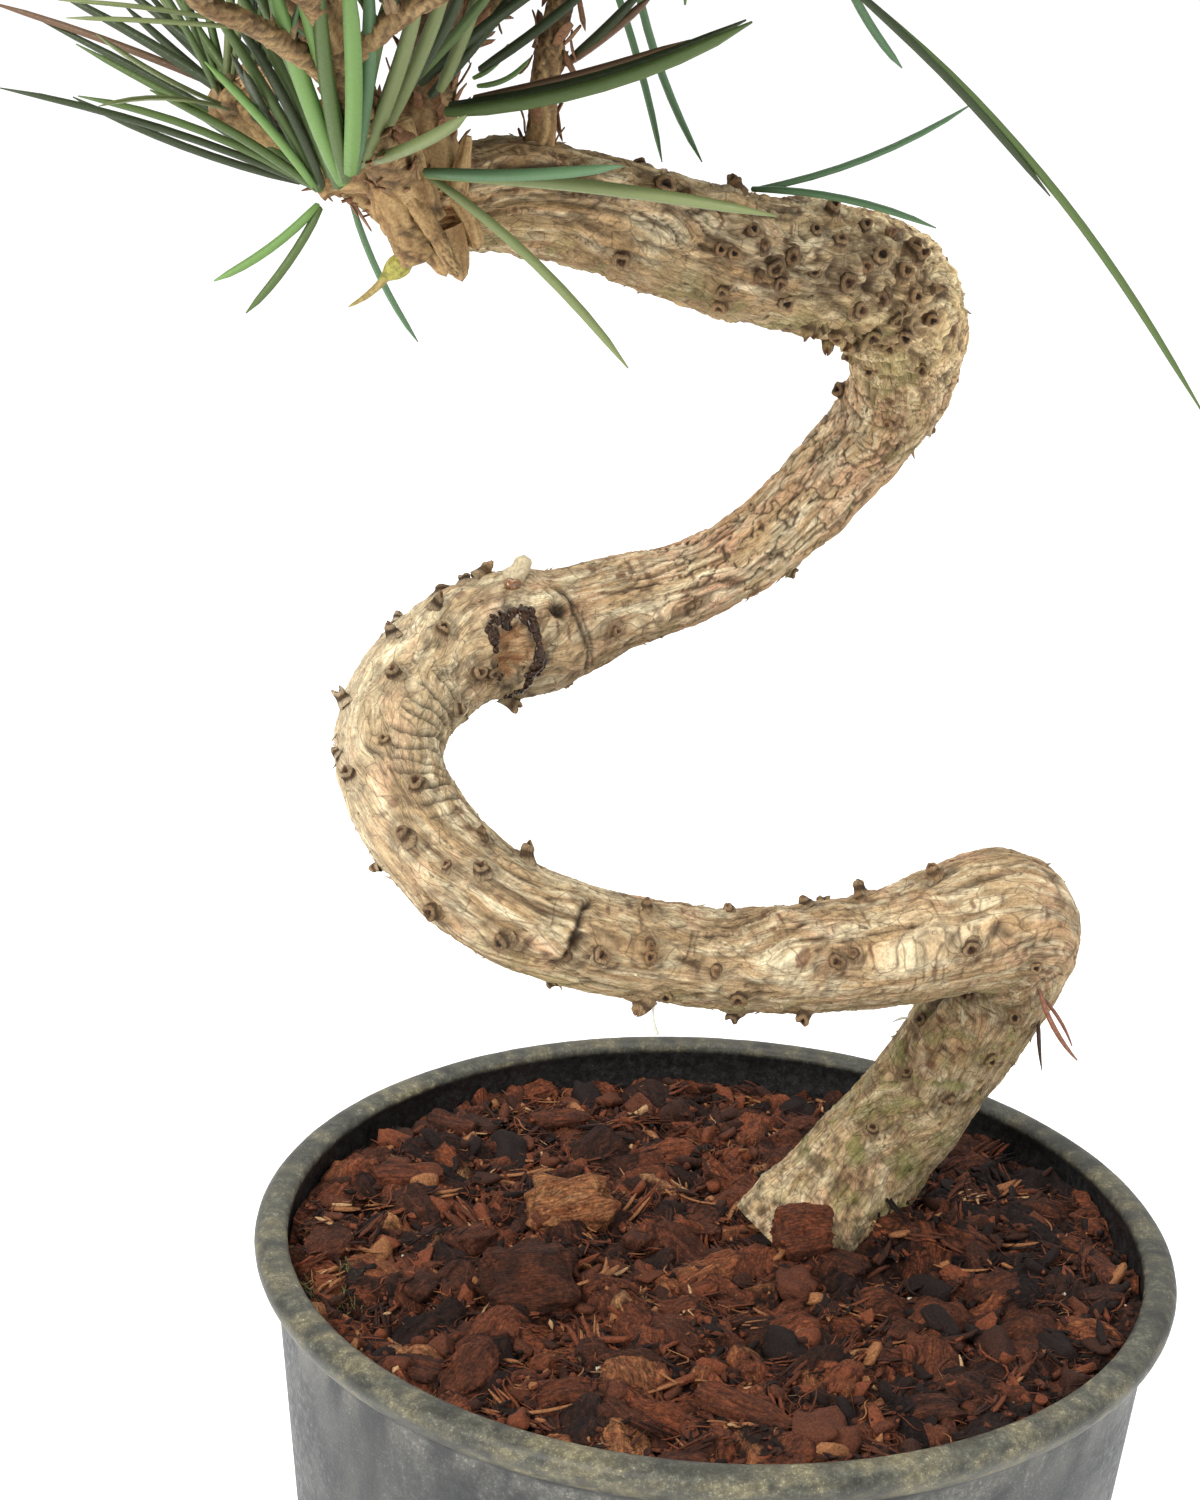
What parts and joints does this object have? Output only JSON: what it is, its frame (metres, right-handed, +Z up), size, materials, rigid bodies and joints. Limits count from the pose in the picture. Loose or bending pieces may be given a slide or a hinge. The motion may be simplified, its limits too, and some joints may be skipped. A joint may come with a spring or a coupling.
{
  "type": "potted japanese black pine",
  "caption": "Young japanese black pine with a stem trained in an open rising spiral, a whorl of needle tufts at its end, in a round plastic nursery pot filled with bark chips.",
  "frame": {"origin": "centre of the pot's flat underside", "axes": "+Z up out of the pot; -Y towards the viewer of the picture; +X to the viewer's right"},
  "size_m": [0.1946, 0.2045, 0.4354],
  "materials": {
    "pot": "satin",
    "growing_medium": "matte",
    "bark": "matte",
    "shoot": "matte",
    "needles": "satin"
  },
  "bodies": {
    "root": {"pot": "pot", "growing_medium": "growing_medium", "trunk_base_stem": "bark", "trunk_lower_sweep": "bark", "trunk_middle_rise": "bark", "trunk_crown_limb": "bark", "shoot_left": "shoot", "shoot_leader": "shoot", "shoot_front": "shoot", "shoot_back_left": "shoot", "shoot_back": "shoot", "shoot_standing": "shoot", "shoot_front_right": "shoot", "needles_left": "needles", "needles_front": "needles", "needles_leader": "needles", "needles_back": "needles", "needles_back_left": "needles", "needles_right": "needles", "needles_front_right": "needles", "needles_upper_left": "needles", "needles_top": "needles"}
  },
  "joints": []
}
